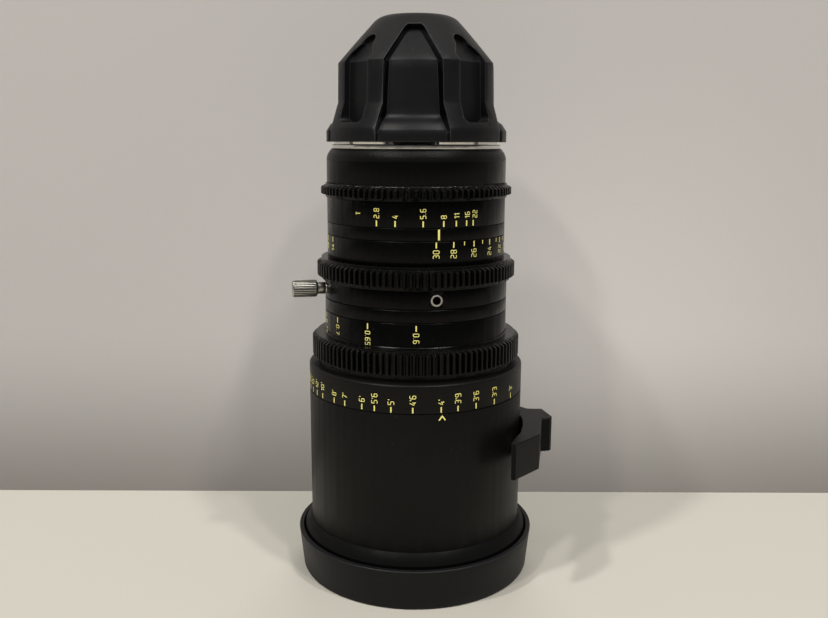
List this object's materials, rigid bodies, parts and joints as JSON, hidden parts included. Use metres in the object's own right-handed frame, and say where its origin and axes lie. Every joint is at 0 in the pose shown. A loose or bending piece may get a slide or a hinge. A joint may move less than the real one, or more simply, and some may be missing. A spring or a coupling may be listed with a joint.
{
  "type": "cinema zoom lens",
  "caption": "Cinema zoom lens standing on its front cap, with geared focus, zoom and iris rings, a zoom lever, a support foot and a domed rear cap over its camera mount.",
  "frame": {"origin": "centre of the front cap's outer face, on which the lens stands", "axes": "+Z along the optical axis towards the camera mount, -Y towards the viewer of the picture, +X to the right in it"},
  "size_m": [0.1083, 0.1006, 0.228],
  "materials": {
    "satin_black": "satin black anodised aluminium",
    "fine_black": "fine satin black anodised aluminium",
    "gear_black": "hard black anodised teeth",
    "cap_black": "fine grained moulded plastic",
    "steel": "polished stainless steel",
    "knurled": "knurled bare aluminium",
    "inner_black": "flocked or matt black anodised aluminium",
    "inner_metal": "turned aluminium",
    "blade_steel": "thin blackened spring steel",
    "coated_glass": "coated optical glass"
  },
  "bodies": {
    "barrel": {"front_ring": "satin_black", "front_element": "coated_glass", "front_retainer": "inner_black", "front_barrel": "satin_black", "focus_sleeve": "inner_metal", "core_tube": "inner_metal", "metre_index_ring": "fine_black", "guide_tube": "inner_metal", "zoom_tube": "inner_metal", "stop_index_ring": "fine_black", "iris_tube": "inner_metal", "iris_plate": "inner_black", "relay_cell": "inner_black", "relay_element_a": "coated_glass", "relay_element_b": "coated_glass", "rear_shell": "fine_black", "mount_ring": "steel", "mount_screws": "steel", "register_barrel": "steel", "rear_nose": "inner_black", "foot": "fine_black", "foot_screws": "steel"},
    "focus_ring": {"feet_sleeve": "satin_black", "focus_gear": "gear_black", "metre_sleeve": "fine_black"},
    "focus_group": {"focus_cell": "inner_black", "focus_element_a": "coated_glass", "focus_element_b": "coated_glass"},
    "zoom_ring": {"zoom_band": "fine_black", "zoom_gear": "gear_black", "zoom_scale": "fine_black", "thread_inserts": "steel"},
    "lever": {"lever_stem": "knurled", "lever_head": "knurled"},
    "variator": {"variator_cell": "inner_black", "variator_element_a": "coated_glass", "variator_element_b": "coated_glass"},
    "compensator": {"compensator_cell": "inner_black", "compensator_element": "coated_glass"},
    "iris_ring": {"iris_scale": "fine_black", "iris_gear": "gear_black", "iris_actuator": "inner_metal"},
    "front_cap": {"front_cap": "cap_black"},
    "rear_cap": {"rear_cap": "cap_black"},
    "iris_blade_1": {"blade_1": "blade_steel"},
    "iris_blade_2": {"blade_2": "blade_steel"},
    "iris_blade_3": {"blade_3": "blade_steel"},
    "iris_blade_4": {"blade_4": "blade_steel"},
    "iris_blade_5": {"blade_5": "blade_steel"},
    "iris_blade_6": {"blade_6": "blade_steel"},
    "iris_blade_7": {"blade_7": "blade_steel"},
    "iris_blade_8": {"blade_8": "blade_steel"},
    "iris_blade_9": {"blade_9": "blade_steel"},
    "iris_blade_10": {"blade_10": "blade_steel"},
    "iris_blade_11": {"blade_11": "blade_steel"},
    "iris_blade_12": {"blade_12": "blade_steel"}
  },
  "joints": [
    {"name": "focus_turn", "type": "hinge", "parent": "barrel", "child": "focus_ring", "pos_m": [0, 0, 0.09], "axis": [0, 0, 1], "range_deg": [-157, 113]},
    {"name": "focus_group_slide", "type": "slide", "parent": "barrel", "child": "focus_group", "axis": [0, 0, 1], "range_m": [-0.0036, 0.0026]},
    {"name": "zoom_turn", "type": "hinge", "parent": "barrel", "child": "zoom_ring", "pos_m": [0, 0, 0.13], "axis": [0, 0, 1], "range_deg": [-100, 0]},
    {"name": "lever_unscrew", "type": "slide", "parent": "zoom_ring", "child": "lever", "axis": [-0.9781, -0.2079, 0], "range_m": [0, 0.02]},
    {"name": "variator_slide", "type": "slide", "parent": "barrel", "child": "variator", "axis": [0, 0, 1], "range_m": [-0.012, 0]},
    {"name": "compensator_slide", "type": "slide", "parent": "barrel", "child": "compensator", "axis": [0, 0, 1], "range_m": [0, 0.0071]},
    {"name": "iris_turn", "type": "hinge", "parent": "barrel", "child": "iris_ring", "pos_m": [0, 0, 0.155], "axis": [0, 0, 1], "range_deg": [-23.5, 38.2]},
    {"name": "front_cap_off", "type": "slide", "parent": "barrel", "child": "front_cap", "axis": [0, 0, -1], "range_m": [0, 0.04]},
    {"name": "rear_cap_off", "type": "slide", "parent": "barrel", "child": "rear_cap", "axis": [0, 0, 1], "range_m": [0, 0.06]},
    {"name": "blade_1_pivot", "type": "hinge", "parent": "barrel", "child": "iris_blade_1", "pos_m": [0, -0.0295, 0.151], "axis": [0, 0, 1], "range_deg": [-12.9, 20.9]},
    {"name": "blade_2_pivot", "type": "hinge", "parent": "barrel", "child": "iris_blade_2", "pos_m": [0.01475, -0.02555, 0.151], "axis": [0, 0, 1], "range_deg": [-12.9, 20.9]},
    {"name": "blade_3_pivot", "type": "hinge", "parent": "barrel", "child": "iris_blade_3", "pos_m": [0.02555, -0.01475, 0.151], "axis": [0, 0, 1], "range_deg": [-12.9, 20.9]},
    {"name": "blade_4_pivot", "type": "hinge", "parent": "barrel", "child": "iris_blade_4", "pos_m": [0.0295, 0, 0.151], "axis": [0, 0, 1], "range_deg": [-12.9, 20.9]},
    {"name": "blade_5_pivot", "type": "hinge", "parent": "barrel", "child": "iris_blade_5", "pos_m": [0.02555, 0.01475, 0.151], "axis": [0, 0, 1], "range_deg": [-12.9, 20.9]},
    {"name": "blade_6_pivot", "type": "hinge", "parent": "barrel", "child": "iris_blade_6", "pos_m": [0.01475, 0.02555, 0.151], "axis": [0, 0, 1], "range_deg": [-12.9, 20.9]},
    {"name": "blade_7_pivot", "type": "hinge", "parent": "barrel", "child": "iris_blade_7", "pos_m": [0, 0.0295, 0.151], "axis": [0, 0, 1], "range_deg": [-12.9, 20.9]},
    {"name": "blade_8_pivot", "type": "hinge", "parent": "barrel", "child": "iris_blade_8", "pos_m": [-0.01475, 0.02555, 0.151], "axis": [0, 0, 1], "range_deg": [-12.9, 20.9]},
    {"name": "blade_9_pivot", "type": "hinge", "parent": "barrel", "child": "iris_blade_9", "pos_m": [-0.02555, 0.01475, 0.151], "axis": [0, 0, 1], "range_deg": [-12.9, 20.9]},
    {"name": "blade_10_pivot", "type": "hinge", "parent": "barrel", "child": "iris_blade_10", "pos_m": [-0.0295, 0, 0.151], "axis": [0, 0, 1], "range_deg": [-12.9, 20.9]},
    {"name": "blade_11_pivot", "type": "hinge", "parent": "barrel", "child": "iris_blade_11", "pos_m": [-0.02555, -0.01475, 0.151], "axis": [0, 0, 1], "range_deg": [-12.9, 20.9]},
    {"name": "blade_12_pivot", "type": "hinge", "parent": "barrel", "child": "iris_blade_12", "pos_m": [-0.01475, -0.02555, 0.151], "axis": [0, 0, 1], "range_deg": [-12.9, 20.9]}
  ],
  "couplings": [
    {"joint": "focus_group_slide", "follows": "focus_turn", "m_per_rad": 0.00127},
    {"joint": "variator_slide", "follows": "zoom_turn", "m_per_rad": 0.0068},
    {"joint": "compensator_slide", "follows": "zoom_turn", "m_per_rad": -0.004},
    {"joint": "blade_1_pivot", "follows": "iris_turn", "ratio": 0.5437},
    {"joint": "blade_2_pivot", "follows": "iris_turn", "ratio": 0.5437},
    {"joint": "blade_3_pivot", "follows": "iris_turn", "ratio": 0.5437},
    {"joint": "blade_4_pivot", "follows": "iris_turn", "ratio": 0.5437},
    {"joint": "blade_5_pivot", "follows": "iris_turn", "ratio": 0.5437},
    {"joint": "blade_6_pivot", "follows": "iris_turn", "ratio": 0.5437},
    {"joint": "blade_7_pivot", "follows": "iris_turn", "ratio": 0.5437},
    {"joint": "blade_8_pivot", "follows": "iris_turn", "ratio": 0.5437},
    {"joint": "blade_9_pivot", "follows": "iris_turn", "ratio": 0.5437},
    {"joint": "blade_10_pivot", "follows": "iris_turn", "ratio": 0.5437},
    {"joint": "blade_11_pivot", "follows": "iris_turn", "ratio": 0.5437},
    {"joint": "blade_12_pivot", "follows": "iris_turn", "ratio": 0.5437}
  ]
}
